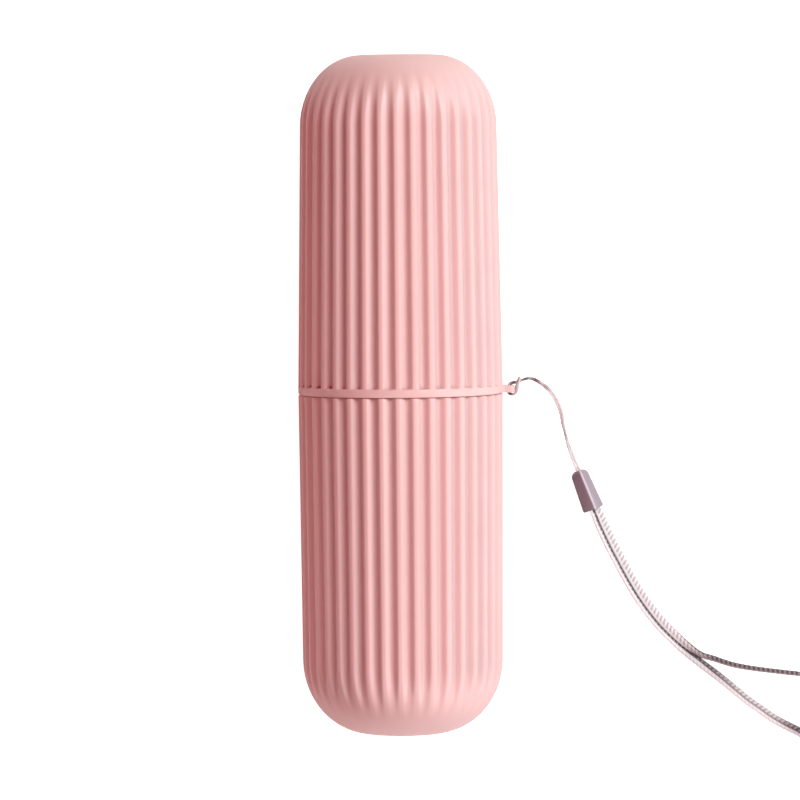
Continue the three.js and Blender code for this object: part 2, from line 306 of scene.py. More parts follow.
# The string: one thin twisted string, closed to a loop and hitched through the eye
string = {
    "diameter": 0.8,
    "plies": 3,
    "plyLift": 0.05,
    "plyPitch": 2.6,
    "sides": 18,
    "step": 0.16,
    "pathEvery": 3,
    "colour": (0.77, 0.705, 0.70),
    # the colour of the painted shade
    "deep": (0.07, 0.03, 0.04),
    "plyTone": 0.18,  # how dark the painted shade in the lines between the plies is
    "sheen": 0.1,
    "finish": {"grain": 9000.0, "blotch": 300.0, "bump": 0.35, "bumpDepth": 0.06,
               "roughness": (0.5, 0.68), "tone": 0.08},
    "dark": [  # a place with painted shade: x, y, how far it reaches, and how much
        (33.2, 3.5, 1.3, 0.9), (36.8, 4.3, 1.9, 0.92), (39.6, 4.0, 2.2, 0.92), (42.6, 2.0, 1.8, 0.5),
        (49.0, -13.0, 2.3, 0.6), (50.2, -16.6, 1.8, 0.3), (32.3, -0.4, 1.3, 0.85), (34.3, 1.4, 1.6, 0.35),
    ],
    "upperLeg": [
        (54.20, -28.65, 1.6), (53.53, -26.76, 1.6), (52.91, -25.11, 1.85), (51.88, -22.46, 3.0),
        (50.88, -19.81, 4.88), (49.93, -16.99, 7.22), (49.09, -13.32, 10.86), (48.60, -10.55, 14.21),
        (47.93, -6.22, 19.42), (46.45, -2.39, 24.07), (44.80, 0.28, 26.97), (42.89, 2.22, 29.08),
        (40.90, 3.49, 30.25), (39.18, 4.32, 30.71), (37.49, 4.49, 30.82), (36.05, 4.08, 30.75),
        (34.97, 3.63, 30.71), (34.2, 3.5, 30.78),
    ],
    "hitch": [
        (33.4, 3.42, 30.78), (32.7, 3.25, 30.78), (32.15, 2.98, 30.78), (31.8, 2.5, 30.78),
        (31.7, 1.6, 30.78), (31.7, 0.7, 30.78), (31.87, 0.1, 30.82), (32.5, -0.13, 31.05),
        (33.3, -0.13, 31.45), (34.05, 0.28, 31.75), (34.36, 1.2, 31.82), (34.64, 2.4, 31.84),
        (34.94, 3.6, 31.8), (35.06, 4.36, 31.35), (35.08, 4.62, 30.75), (35.04, 4.68, 30.2),
        (35.0, 4.64, 29.65), (34.9, 4.42, 29.05), (34.66, 3.7, 28.6), (34.3, 2.7, 28.56),
        (34.04, 1.5, 28.58), (34.0, 0.4, 28.65), (33.45, -0.24, 28.9), (32.6, -0.32, 29.3),
        (31.87, -0.02, 29.58), (31.7, 0.6, 29.62), (31.7, 1.5, 29.62), (31.76, 2.25, 29.62),
        (32.13, 2.72, 29.62), (32.7, 2.96, 29.62), (33.4, 3.12, 29.62),
    ],
    "lowerLeg": [
        (34.2, 3.26, 29.62), (35.03, 3.48, 29.69), (36.15, 4.02, 29.85), (37.51, 4.35, 30.02),
        (39.02, 4.12, 29.99), (40.50, 3.27, 29.65), (42.31, 1.89, 28.72), (44.15, -0.07, 26.83),
        (45.72, -2.57, 23.93), (47.21, -6.12, 19.18), (48.12, -10.13, 13.79), (49.01, -12.77, 10.34),
        (50.27, -16.48, 6.78), (51.46, -19.39, 4.62), (52.56, -22.14, 2.9), (53.69, -24.79, 1.85),
        (54.37, -26.44, 1.6), (55.04, -28.35, 1.6),
    ],
}


def makeString(spec):
    points = spec["upperLeg"] + spec["hitch"] + spec["lowerLeg"]
    placed = [(x + caseLie["axisX"], y, z) for x, y, z in points]
    line, along = smoothLine(placed, spec["step"])
    sides, ups = carriedFrames(line)
    turn = np.linspace(0, 2 * math.pi, spec["sides"], endpoint=False)
    twist = 2 * math.pi * along[:, None] / (spec["plyPitch"] * spec["plies"])
    lobe = np.cos(spec["plies"] * (turn[None, :] - twist))
    between = 0.5 - 0.5 * lobe  # 0 on a ply, 1 on the line between two
    radius = spec["diameter"] / 2 - spec["plyLift"] * between
    made = sweep("hitchString", line, sides, ups, radius * np.cos(turn), radius * np.sin(turn))
    paintedLightAndShade = np.zeros(len(line))
    for x, y, reach, share in spec["dark"]:
        away = np.hypot(line[:, 0] - x - caseLie["axisX"], line[:, 1] - y)
        paintedLightAndShade = np.maximum(paintedLightAndShade, share * np.exp(-((away / reach) ** 2)))
    # painted shade: the listed shaded places, and the lines between the plies
    threadMarkAndPaintedShade = np.maximum(paintedLightAndShade[:, None], between ** 2 * spec["plyTone"])
    pointAttribute(made, "threadMarkAndPaintedShade", np.concatenate([threadMarkAndPaintedShade.ravel(), [0.0, 0.0]]))
    material = maskedMaterial("twistedString", spec["finish"], "threadMarkAndPaintedShade", spec["colour"], spec["deep"])
    principled(material.node_tree).inputs["Sheen Weight"].default_value = spec["sheen"]
    made.data.materials.append(material)
    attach(made, "cap")
    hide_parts("string_loop")
    print("string", round(float(along[-1]), 1), "mm")


makeString(string)

# The wrist cord: a flat braid, doubled. Each route point gives x from the case's axis, y, the lift off the
# table, the roll (0 lies flat, 90 stands on edge) and how much painted shade the cord has there.
wristCord = {
    "width": 2.85,
    "thickness": 1.34,
    "squareness": 3.0,
    "grooveDepth": 0.16,
    "grooveWidth": 0.11,
    "braidPitch": 1.45,
    "braidDepth": 0.12,
    "braidSlant": 0.6,
    "stitchStart": (0.1, 0.4),  # share of the half width where the stitches begin, and where they are full
    "stitchMiddle": 0.25,  # how much of their depth they have before that
    "stitchPower": 0.6,  # under 1, the dark of a stitch is wider than its seam
    "clearance": 0.02,
    "pinch": 0.86,  # how far the braid is squeezed in the connector, and over what length
    "pinchReach": (5.0, 8.0),
    "sides": 40,
    "step": 0.18,
    "pathEvery": 6,
    "colour": (0.855, 0.86, 0.87),
    # the colour of the dark thread and of the painted shade
    "deep": (0.045, 0.02, 0.028),
    "contact": (0.12, 0.55),  # mm apart at which the painted contact shade is full, and gone
    "contactRise": 0.08,
    "edgeThread": (0.94, 0.97),  # share of the half width where the dark edge thread starts, and is full
    "markedHalf": (0.3, 0.34, 0.14),  # its reach past the groove, how much less on the second run, softness
    "markedTone": (0.45, 0.1, 0.4),  # how dark its stitches are, more on the second run, more where shade is painted
    "paleShare": 0.4,  # how much of the painted shade the other half of a face gets beside its marked half
    "betweenEdge": 0.75,  # how dark the edge thread stays between stitches, and the painted shade
    "betweenDark": 0.78,
    "grooveTone": (0.06, 0.6),  # how dark the painted shade in the groove is, and more on the second run
    "seamTone": 0.04,
    "sheen": 0.5,
    "softness": 0.5,  # how much of the light goes through the white threads, and how far
    "softReach": 1.2,
    "finish": {"grain": 7000.0, "blotch": 200.0, "bump": 0.4, "bumpDepth": 0.06,
               "roughness": (0.5, 0.7), "tone": 0.04},
    "route": [
        (56.96, -32.06, 0.75, 4, 0.05), (57.86, -34.4, 0.75, 4, 0.05), (58.63, -36.19, 0.65, 4, 0.05),
        (59.42, -37.68, 0.5, 4, 0.05), (60.33, -39.88, 0.2, 4, 0.05), (61.47, -42.36, 0, 4, 0.05),
        (63.74, -47.23, 0, 4, 0.05), (66.21, -52.04, 0, 5, 0.05), (68.75, -56.87, 0, 5, 0.05),
        (71.54, -61.66, 0, 6, 0.05), (74.8, -66.45, 0, 8, 0.05), (78.64, -71.22, 0, 12, 0.05),
        (83.45, -76.01, 0, 24, 0.12), (86.22, -78.35, 0, 40, 0.25), (89.5, -80.55, 0, 56, 0.6),
        (93.55, -81.87, 0, 62, 1.0), (97.0, -83.07, 0, 65, 1.0), (100.3, -84.02, 0, 67, 1.0),
        (104.6, -84.83, 0, 70, 1.0), (108.99, -85.48, 0, 72, 1.0), (119.38, -86.75, 0, 74, 0.95),
        (131.0, -88.0, 0, 90, 0.6), (145.0, -91.5, 0, 95, 0.2),
        (158.0, -99.0, 0, 105, 0.2), (164.5, -110.0, 0, 120, 0.2), (160.0, -121.0, 0, 140, 0.2),
        (148.5, -124.6, 0, 150, 0.2), (137.5, -118.4, 0, 155, 0.5), (128.0, -110.2, 0, 160, 0.95),
        (119.45, -104.42, 0, 165, 1.0), (115.56, -102.44, 0, 174, 0.85), (111.18, -99.95, 0, 180, 0.42),
        (107.29, -97.15, 0, 180, 0.38), (103.39, -94.35, 0, 180, 0.38), (99.83, -91.33, 0, 182, 0.5),
        (95.96, -88.08, 0, 188, 0.78), (92.33, -85.28, 0, 200, 1.0), (88.42, -82.35, 0, 224, 1.0),
        (85.16, -80.1, 0, 248, 0.9), (82.03, -77.5, 0, 262, 0.4), (77.1, -72.56, 0, 270, 0),
        (73.15, -67.64, 0, 270, 0), (69.81, -62.74, 0, 270, 0), (66.97, -57.85, 0, 270, 0),
        (64.4, -52.99, 0, 270, 0), (61.9, -48.11, 0, 270, 0), (59.64, -43.25, 0, 270, 0),
        (58.57, -40.7, 0.15, 270, 0), (57.67, -38.29, 0.35, 270, 0), (57.0, -36.7, 0.5, 270, 0),
        (56.25, -34.95, 0.5, 270, 0), (55.4, -32.6, 0.5, 270, 0),
    ],
}


def makeWristCord(spec):
    halfW, halfT = spec["width"] / 2, spec["thickness"] / 2
    rows = []
    for x, y, lift, roll, dark in spec["route"]:
        rows.append((x + caseLie["axisX"], y, 0.0, lift, math.radians(roll), dark))
    rows, along = smoothLine(rows, spec["step"])
    line, lift, roll, dark = rows[:, :3].copy(), rows[:, 3], rows[:, 4], rows[:, 5, None]
    dual = spec["squareness"] / (spec["squareness"] - 1)
    reach = (np.abs(halfW * np.sin(roll)) ** dual + np.abs(halfT * np.cos(roll)) ** dual) ** (1 / dual)
    line[:, 2] = reach + np.maximum(lift, 0) + spec["clearance"]
    t = tangents(line)
    left = unit(np.cross((0.0, 0.0, 1.0), t))
    above = np.cross(t, left)
    wide = left * np.cos(roll)[:, None] + above * np.sin(roll)[:, None]
    thin = np.cross(t, wide)
    turn = np.linspace(0, 2 * math.pi, spec["sides"], endpoint=False)
    power = 2.0 / spec["squareness"]
    sx = halfW * np.sign(np.cos(turn)) * np.abs(np.cos(turn)) ** power
    sy = halfT * np.sign(np.sin(turn)) * np.abs(np.sin(turn)) ** power
    share = sx / halfW
    groove = np.exp(-((sx / spec["grooveWidth"]) ** 2)) * np.abs(np.sin(turn))
    # each stitch runs out from the groove to the edge on a slant, and the two faces are half a stitch apart
    phase = (along[:, None] + spec["braidSlant"] * np.abs(sx)[None, :]) / spec["braidPitch"]
    phase = phase + np.where(sx > 0, 0.0, 0.5)[None, :]
    seam = (0.5 + 0.5 * np.cos(2 * math.pi * phase)) ** 2
    start, end = spec["stitchStart"]
    out = np.clip((np.abs(share) - start) / (end - start), 0, 1)[None, :]
    depth = spec["stitchMiddle"] + (1 - spec["stitchMiddle"]) * out
    dip = spec["braidDepth"] * seam * depth + spec["grooveDepth"] * groove[None, :]
    start, end = spec["pinchReach"]
    free = np.minimum(along, along[-1] - along)
    squeeze = spec["pinch"] + (1 - spec["pinch"]) * smoothStep((free - start) / (end - start))
    scale = (1 - dip / np.hypot(sx, sy)[None, :]) * squeeze[:, None]
    made = sweep("wristBraid", line, wide, thin, sx[None, :] * scale, sy[None, :] * scale)
    # one edge has a dark thread in it, and shows as hatching on its half of both faces
    start, end = spec["edgeThread"]
    edge = np.clip((share - start) / (end - start), 0, 1)[None, :]
    secondRun = smoothStep((along / along[-1] - 0.5) / 0.1)[:, None]  # 0 up to the far bend, then 1
    past, less, soft = spec["markedHalf"]
    marked = np.clip((share[None, :] + past - less * secondRun) / soft, 0, 1)
    stitch = seam ** spec["stitchPower"]
    tone, more, whereDark = spec["markedTone"]
    thread = np.minimum(tone + more * secondRun + whereDark * dark, 1)
    between = spec["betweenEdge"]
    threadMarkAndPaintedShade = edge * (between + (1 - between) * stitch) + marked * (1 - edge) * stitch * thread
    # painted shade: in the route's shaded places the marked half darkens, and the other half by paleShare
    between = spec["betweenDark"]
    across = spec["paleShare"] + (1 - spec["paleShare"]) * marked
    threadMarkAndPaintedShade = np.maximum(threadMarkAndPaintedShade, across * dark * (between + (1 - between) * stitch))
    # painted shade in the centre groove and in the seams between stitches
    tone, more = spec["grooveTone"]
    threadMarkAndPaintedShade = threadMarkAndPaintedShade + groove[None, :] * (tone + more * secondRun) + spec["seamTone"] * seam
    threadMarkAndPaintedShade = np.concatenate([np.clip(threadMarkAndPaintedShade, 0, 1).ravel(), [0.0, 0.0]])
    # painted shade where the two runs lie together, along the three fifths of their length next to the
    # connector
    half, whole = len(along) // 2 * spec["sides"], len(along) * spec["sides"]
    near, far = np.arange(half * 3 // 5), np.arange(half * 7 // 5, whole)
    runs = ((near, far), (far, near))
    threadMarkAndPaintedShade = np.maximum(threadMarkAndPaintedShade, contactMask(made, runs, *spec["contact"], spec["contactRise"]))
    pointAttribute(made, "threadMarkAndPaintedShade", threadMarkAndPaintedShade)
    material = maskedMaterial("flatBraid", spec["finish"], "threadMarkAndPaintedShade", spec["colour"], spec["deep"])
    shader = principled(material.node_tree)
    shader.inputs["Sheen Weight"].default_value = spec["sheen"]
    shader.inputs["Subsurface Weight"].default_value = spec["softness"]
    shader.inputs["Subsurface Radius"].default_value = (1.0, 1.0, 1.0)
    shader.inputs["Subsurface Scale"].default_value = spec["softReach"] * mm
    made.data.materials.append(material)
    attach(made, "cap")
    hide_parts("wrist_cord")
    print("wrist cord", round(float(along[-1]), 1), "mm")


makeWristCord(wristCord)

# The two fluted halves. Both are turned shells with the same ribs, so one node tree makes them.
ribs = {
    "count": 38,
    "depth": 1.3,
    "turn": math.radians(-1.5),
    "crestShare": 0.14,
    "valleyShare": 0.06,
    "columnsPerRib": 20,
}

shells = {
    "seamRadius": 30.2,
    "wall": 1.2,
    "endWall": 2.0,
    "ribDepthCad": 1.3,
    "partingGap": 0.3,
    "cupLength": 100.1,
    "cupShoulderRadius": 29.6,
    "cupDomeLength": 22.0,
    "cupFlatRadius": 10.0,
    "capLength": 99.6,
    "capShoulderRadius": 29.0,
    "capDomeLength": 21.0,
    "capFlatRadius": 11.0,
    "capFade": (1.0, 22.0),  # distance from the closed end where the valleys end and where they are full
    "cupFade": (3.0, 22.5),
    "fadePower": 1.5,
    "bandHeight": 2.2,
    "ledge": 0.5,
    "ledgeParts": (0.8, 0.6, 0.4, 0.25, 0.1, 0.0),  # rows down the ledge, and how much sooner valleys fill
    "ledgeGain": 1.1,
    "edge": 0.45,
    "rimReach": 0.09,  # how far each rim comes into the drawn gap, so that the line between them stays fine
    "flatRings": (0.0, 4.0, 8.0),
    "domeSteps": 34,
    "innerDomeSteps": 14,
    "bodySteps": 12,
}

sleeve = {
    "seatDepth": 12.0,
    "neckLength": 14.0,
    "wall": 1.4,
    "clearance": 0.3,
    "chamfer": 0.8,
    "edge": 0.25,
    "topEdge": 0.2,
    "bead": (0.12, 1.6, 5.0),  # height, length, distance below the parting line
    "beadSteps": 8,
    "stopLedge": 0.7,
    "stopCorner": (0.05, 0.1),  # how the corner over the ring is cut, across and along
    "stopEdge": 0.15,
    "columns": 192,
    "colour": (0.87, 0.60, 0.57),
    "deep": (0.80, 0.50, 0.47),
    "finish": {"grain": 6000.0, "blotch": 60.0, "bump": 0.05, "bumpDepth": 0.03,
               "roughness": (0.25, 0.34), "tone": 0.02},
}

cupBase = -(shells["cupLength"] + shells["partingGap"] + shells["capLength"]) / 2
cupRim = cupBase + shells["cupLength"]
capRim = cupRim + shells["partingGap"]
capEnd = capRim + shells["capLength"]
mouthRadius = shells["seamRadius"] - shells["ribDepthCad"] - shells["wall"]
sleeveRadius = mouthRadius - sleeve["clearance"]
sleeveTop = capRim + sleeve["seatDepth"]
sleeveBottom = cupRim - sleeve["neckLength"]


def arcPoints(x, y, radius, start, end, steps):
    out = []
    for i in range(steps + 1):
        turn = math.radians(start + (end - start) * i / steps)
        out.append((x + radius * math.cos(turn), y + radius * math.sin(turn)))
    return out


# A profile row is a radius, a place along the axis, and how deep the valleys are there, from 0 to 1
def corner(x, y, radius, start, end, share=0.0):  # a quarter round in a profile
    return [(a, b, share) for a, b in arcPoints(x, y, radius, start, end, 5)]


def domeRows(half, skin, shoulderY, endY, steps, fade=None):  # a half's dome, from its end to its shoulder
    shoulderRadius, flatRadius = shells[half + "ShoulderRadius"] - skin, shells[half + "FlatRadius"]
    rows = []
    for i in range(steps + 1):
        turn = (1 - i / steps) * math.pi / 2
        radius = flatRadius + (shoulderRadius - flatRadius) * math.cos(turn)
        y = shoulderY + (endY - shoulderY) * math.sin(turn)
        share = 0.0
        if fade:
            share = smoothStep((abs(endY - y) - fade[0]) / (fade[1] - fade[0])) ** shells["fadePower"]
        rows.append((radius, y, share))
    return rows


def straightRows(start, end, steps, share):
    rows = []
    for i in range(1, steps + 1):
        part = i / steps
        rows.append((start[0] + (end[0] - start[0]) * part, start[1] + (end[1] - start[1]) * part, share))
    return rows


def outsideRows(half, shoulderY, endY):  # from the middle of the closed end to the shoulder
    rows = [(radius, endY, 0.0) for radius in shells["flatRings"]]
    return rows + domeRows(half, 0.0, shoulderY, endY, shells["domeSteps"], shells[half + "Fade"])


def insideRows(half, shoulderY, endY):  # and back on the inside, which has no ribs
    skin = shells["ribDepthCad"] + shells["wall"]
    return domeRows(half, skin, shoulderY, endY, shells["innerDomeSteps"])[::-1] + [(0.0, endY, 0.0)]


def capProfile():
    shoulderY, rim = capEnd - shells["capDomeLength"], capRim - shells["rimReach"]
    bandTop, stopY = capRim + shells["bandHeight"], sleeveTop + sleeve["clearance"]
    seam, edge, ledge = shells["seamRadius"], shells["edge"], shells["ledge"]
    stopRadius, stopEdge = mouthRadius - sleeve["stopLedge"], sleeve["stopEdge"]
    across, along = sleeve["stopCorner"]
    rows = outsideRows("cap", shoulderY, capEnd)
    rows += straightRows(rows[-1], (seam, bandTop + ledge), shells["bodySteps"], 1.0)
    for part in shells["ledgeParts"]:  # valleys end on the band's ledge
        rows.append((seam, bandTop + ledge * part, smoothStep(part * shells["ledgeGain"])))
    rows += corner(seam - edge, rim + edge, edge, 0, -90)
    rows += corner(mouthRadius + edge, rim + edge, edge, -90, -180)
    rows += [(mouthRadius, stopY - along, 0.0), (mouthRadius - across, stopY, 0.0)]
    rows += [(stopRadius + stopEdge, stopY, 0.0), (stopRadius, stopY + stopEdge, 0.0)]
    return rows + insideRows("cap", shoulderY, capEnd - shells["endWall"])


def cupProfile():
    shoulderY, rim = cupBase + shells["cupDomeLength"], cupRim + shells["rimReach"]
    seam, edge = shells["seamRadius"], shells["edge"]
    rows = outsideRows("cup", shoulderY, cupBase)
    rows += straightRows(rows[-1], (seam, rim - edge), shells["bodySteps"], 1.0)
    rows += corner(seam - edge, rim - edge, edge, 0, 90, 1.0)[1:]
    rows += corner(mouthRadius + edge, rim - edge, edge, 90, 180)
    rows.append((mouthRadius, sleeveBottom, 0.0))
    return rows + insideRows("cup", shoulderY, cupBase + shells["endWall"])


def sleeveProfile():
    bore = sleeveRadius - sleeve["wall"]
    height, length, drop = sleeve["bead"]
    chamfer, edge, topEdge = sleeve["chamfer"], sleeve["edge"], sleeve["topEdge"]
    rows = corner(bore + edge, sleeveBottom + edge, edge, 180, 270)
    rows += [(sleeveRadius - chamfer, sleeveBottom, 0.0), (sleeveRadius, sleeveBottom + chamfer, 0.0)]
    for part in np.linspace(0, 1, sleeve["beadSteps"] + 1):
        rise = height * math.sin(math.pi * part) ** 2
        rows.append((sleeveRadius + rise, cupRim - drop - length * (1 - part), 0.0))
    rows += [(sleeveRadius, sleeveTop - topEdge, 0.0), (sleeveRadius - topEdge, sleeveTop, 0.0)]
    rows += [(bore + topEdge, sleeveTop, 0.0), (bore, sleeveTop - topEdge, 0.0), rows[0]]
    return rows


def flutedShellTree():  # turns a profile line about Y and presses rib valleys into it
    tree = bpy.data.node_groups.new("flutedShell", "GeometryNodeTree")
    face = tree.interface
    face.new_socket("Geometry", in_out="INPUT", socket_type="NodeSocketGeometry")
    for name, kind in (
        ("Ribs", "Int"), ("Columns Per Rib", "Int"), ("Rib Depth", "Float"), ("Crest Share", "Float"),
        ("Valley Share", "Float"), ("Rib Turn", "Float"), ("Finish", "Material"),
    ):
        face.new_socket(name, in_out="INPUT", socket_type="NodeSocket" + kind)
    face.new_socket("Geometry", in_out="OUTPUT", socket_type="NodeSocketGeometry")
    start, end = addNode(tree, "NodeGroupInput"), addNode(tree, "NodeGroupOutput")

    def maths(operation, a, b=None, c=None):
        node = addNode(tree, "ShaderNodeMath", operation=operation)
        for socket, value in zip(node.inputs, (a, b, c)):
            if value is None:
                continue
            if isinstance(value, (int, float)):
                socket.default_value = value
            else:
                tree.links.new(value, socket)
        return node.outputs[0]

    size = addNode(tree, "GeometryNodeAttributeDomainSize", component="MESH")
    tree.links.new(start.outputs["Geometry"], size.inputs["Geometry"])
    lastRow = maths("SUBTRACT", size.outputs["Point Count"], 1)
    columns = maths("MULTIPLY", start.outputs["Ribs"], start.outputs["Columns Per Rib"])
    grid = addNode(tree, "GeometryNodeMeshGrid")
    grid.inputs["Size X"].default_value = 1.0
    grid.inputs["Size Y"].default_value = 1.0
    wire(tree, (
        (maths("ADD", columns, 1), grid.inputs["Vertices X"]),
        (size.outputs["Point Count"], grid.inputs["Vertices Y"]),
    ))
    where = addNode(tree, "ShaderNodeSeparateXYZ")
    tree.links.new(addNode(tree, "GeometryNodeInputPosition").outputs[0], where.inputs[0])
    row = maths("ROUND", maths("MULTIPLY", maths("ADD", where.outputs["Y"], 0.5), lastRow))
    turn = maths("MULTIPLY", maths("ADD", where.outputs["X"], 0.5), 2 * math.pi)
    profile = addNode(tree, "GeometryNodeSampleIndex", data_type="FLOAT_VECTOR", domain="POINT")
    tree.links.new(addNode(tree, "GeometryNodeInputPosition").outputs[0], profile.inputs["Value"])
    fluting = addNode(tree, "GeometryNodeSampleIndex", data_type="FLOAT", domain="POINT")
    named = addNode(tree, "GeometryNodeInputNamedAttribute", data_type="FLOAT")
    named.inputs["Name"].default_value = "fluting"
    wire(tree, (
        (named.outputs["Attribute"], fluting.inputs["Value"]),
        (start.outputs["Geometry"], profile.inputs["Geometry"]),
        (start.outputs["Geometry"], fluting.inputs["Geometry"]),
        (row, profile.inputs["Index"]),
        (row, fluting.inputs["Index"]),
    ))
    ring = addNode(tree, "ShaderNodeSeparateXYZ")
    tree.links.new(profile.outputs["Value"], ring.inputs[0])
    # 0 on a rib's crest, 1 in the middle of a valley
    cycle = maths("MULTIPLY", maths("SUBTRACT", turn, start.outputs["Rib Turn"]), start.outputs["Ribs"])
    fromCrest = maths("PINGPONG", maths("DIVIDE", cycle, math.pi), 1.0)
    crest, bottom = start.outputs["Crest Share"], start.outputs["Valley Share"]
    flank = maths("SUBTRACT", maths("SUBTRACT", 1.0, crest), bottom)
    past = maths("DIVIDE", maths("SUBTRACT", fromCrest, crest), flank)
    clamped = maths("MAXIMUM", maths("MINIMUM", past, 1.0), 0.0)
    valley = maths("MULTIPLY_ADD", maths("COSINE", maths("MULTIPLY", clamped, math.pi)), -0.5, 0.5)
    depth = maths("MULTIPLY", maths("MULTIPLY", valley, fluting.outputs["Value"]), start.outputs["Rib Depth"])
    radius = maths("SUBTRACT", ring.outputs["X"], depth)
    place = addNode(tree, "ShaderNodeCombineXYZ")
    put = addNode(tree, "GeometryNodeSetPosition")
    # the valley mask, which the case material uses for its painted shade
    keep = addNode(tree, "GeometryNodeStoreNamedAttribute", data_type="FLOAT", domain="POINT")
    keep.inputs["Name"].default_value = "valley"
    join = addNode(tree, "GeometryNodeMergeByDistance")
    join.inputs["Distance"].default_value = mergeDistance
    smooth = addNode(tree, "GeometryNodeSetShadeSmooth")
    realize = addNode(tree, "GeometryNodeRealizeInstances")
    finish = addNode(tree, "GeometryNodeSetMaterial")
    wire(tree, (
        (maths("MULTIPLY", radius, maths("SINE", turn)), place.inputs["X"]),
        (ring.outputs["Y"], place.inputs["Y"]),
        (maths("MULTIPLY", radius, maths("COSINE", turn)), place.inputs["Z"]),
        (grid.outputs["Mesh"], keep.inputs["Geometry"]),
        (maths("MULTIPLY", valley, fluting.outputs["Value"]), keep.inputs["Value"]),
        (keep.outputs["Geometry"], put.inputs["Geometry"]),
        (place.outputs["Vector"], put.inputs["Position"]),
        (put.outputs["Geometry"], join.inputs["Geometry"]),
        (join.outputs["Geometry"], smooth.inputs["Geometry"]),
        (smooth.outputs["Geometry"], realize.inputs["Geometry"]),
        (realize.outputs["Geometry"], finish.inputs["Geometry"]),
        (start.outputs["Finish"], finish.inputs["Material"]),
        (finish.outputs["Geometry"], end.inputs["Geometry"]),
    ))
    return tree


shellTree = flutedShellTree()


def turnedPiece(name, profile, material, settings):
    line = meshObject(name + "Profile", [(r * mm, y * mm, 0.0) for r, y, share in profile], [])
    pointAttribute(line, "fluting", [share for r, y, share in profile])
    modifier = line.modifiers.new("flutedShell", "NODES")
    modifier.node_group = shellTree
    values = {**settings, "Finish": material}
    for item in shellTree.interface.items_tree:
        if item.item_type == "SOCKET" and item.in_out == "INPUT" and item.name in values:
            modifier[item.identifier] = values[item.name]
    graph = bpy.context.evaluated_depsgraph_get()
    mesh = bpy.data.meshes.new_from_object(line.evaluated_get(graph))
    line.modifiers.remove(modifier)
    bpy.data.objects.remove(line)
    mesh.name = name
    mesh.transform(Matrix.Translation(Vector((caseLie["axisX"], 0.0, caseLie["axisZ"])) * mm))
    made = bpy.data.objects.new(name, mesh)
    scene.collection.objects.link(made)
    faceOutwards(made)
    print(name, len(mesh.vertices), "points")
    return made


ribSettings = {
    "Ribs": ribs["count"], "Columns Per Rib": ribs["columnsPerRib"], "Rib Depth": ribs["depth"] * mm,
    "Crest Share": ribs["crestShare"], "Valley Share": ribs["valleyShare"], "Rib Turn": ribs["turn"],
}
plainSettings = {
    "Ribs": sleeve["columns"], "Columns Per Rib": 1, "Rib Depth": 0.0,
    "Crest Share": 0.0, "Valley Share": 0.0, "Rib Turn": 0.0,
}

# the valleys are painted a darker pink than the crests: painted shade in the flutes
casePlastic = {
    "crest": (0.73, 0.485, 0.465),
    "valley": (0.62, 0.405, 0.40),
    "finish": {"grain": 5000.0, "blotch": 45.0, "bump": 0.12, "bumpDepth": 0.04,
               "roughness": (0.42, 0.48), "tone": 0.03},
}
pinkPlastic = maskedMaterial(
    "satinPinkPlastic", casePlastic["finish"], "valley", casePlastic["crest"], casePlastic["valley"],
)

eye = {
    "projection": 3.4,
    "width": 6.0,
    "thickness": 2.1,
    "cornerRadius": 1.5,
    "root": 1.4,
    "holeWidth": 1.6,
    "holeLength": 3.0,
    "holeInset": 0.7,
    "edge": 0.3,
    "edgeSteps": 3,
    "rootFlare": 0.9,
    "flareOut": 0.7,  # how far out a flare's centre is, as a share of its radius
    "flareTurn": 40,  # degrees at which each flare meets the band
    "merge": 0.003,
}


def makeEye(spec):  # a flat tab with round corners, soft edges and a slot, drawn in X and Z and thick along Y
    seam = shells["seamRadius"]
    root, tip, half = seam - spec["root"], seam + spec["projection"], spec["width"] / 2
    radius, flare, flareEnd = spec["cornerRadius"], spec["rootFlare"], 180 - spec["flareTurn"]
    flareX = seam + flare * spec["flareOut"]
    outline = [(root, -half - flare)]
    outline += arcPoints(flareX, -half - flare, flare, flareEnd, 90, 6)
    outline += arcPoints(tip - radius, radius - half, radius, -90, 0, 10)
    outline += arcPoints(tip - radius, half - radius, radius, 0, 90, 10)
    outline += arcPoints(flareX, half + flare, flare, -90, -flareEnd, 6)
    outline += [(root, half + flare)]
    slotRadius = spec["holeWidth"] / 2
    slotX, slotEnd = seam + spec["holeInset"] + slotRadius, spec["holeLength"] / 2 - slotRadius
    slot = arcPoints(slotX, slotEnd, slotRadius, 0, 180, 12)
    slot += arcPoints(slotX, -slotEnd, slotRadius, 180, 360, 12)
    curve = bpy.data.curves.new("eyeOutline", "CURVE")
    curve.dimensions = "2D"
    curve.fill_mode = "BOTH"
    edge = spec["edge"]
    curve.extrude = (spec["thickness"] / 2 - edge) * mm
    curve.bevel_depth = edge * mm
    curve.bevel_resolution = spec["edgeSteps"]
    curve.offset = -edge * mm
    for points in (outline, slot):
        spline = curve.splines.new("POLY")
        spline.points.add(len(points) - 1)
        for point, (x, z) in zip(spline.points, points):
            point.co = (x * mm, z * mm, 0.0, 1.0)
        spline.use_cyclic_u = True
    drawn = bpy.data.objects.new("eyeOutline", curve)
    scene.collection.objects.link(drawn)
    graph = bpy.context.evaluated_depsgraph_get()
    mesh = bpy.data.meshes.new_from_object(drawn.evaluated_get(graph))
    bpy.data.objects.remove(drawn)
    mesh.transform(Matrix.Rotation(math.pi / 2, 4, "X"))
    middle = Vector((caseLie["axisX"], capRim + spec["thickness"] / 2, caseLie["axisZ"]))
    mesh.transform(Matrix.Translation(middle * mm))
    made = bpy.data.objects.new("strapEye", mesh)
    scene.collection.objects.link(made)
    faceOutwards(made, spec["merge"] * mm)
    mesh.materials.clear()
    mesh.materials.append(pinkPlastic)
    mesh.polygons.foreach_set("use_smooth", [True] * len(mesh.polygons))
    return made


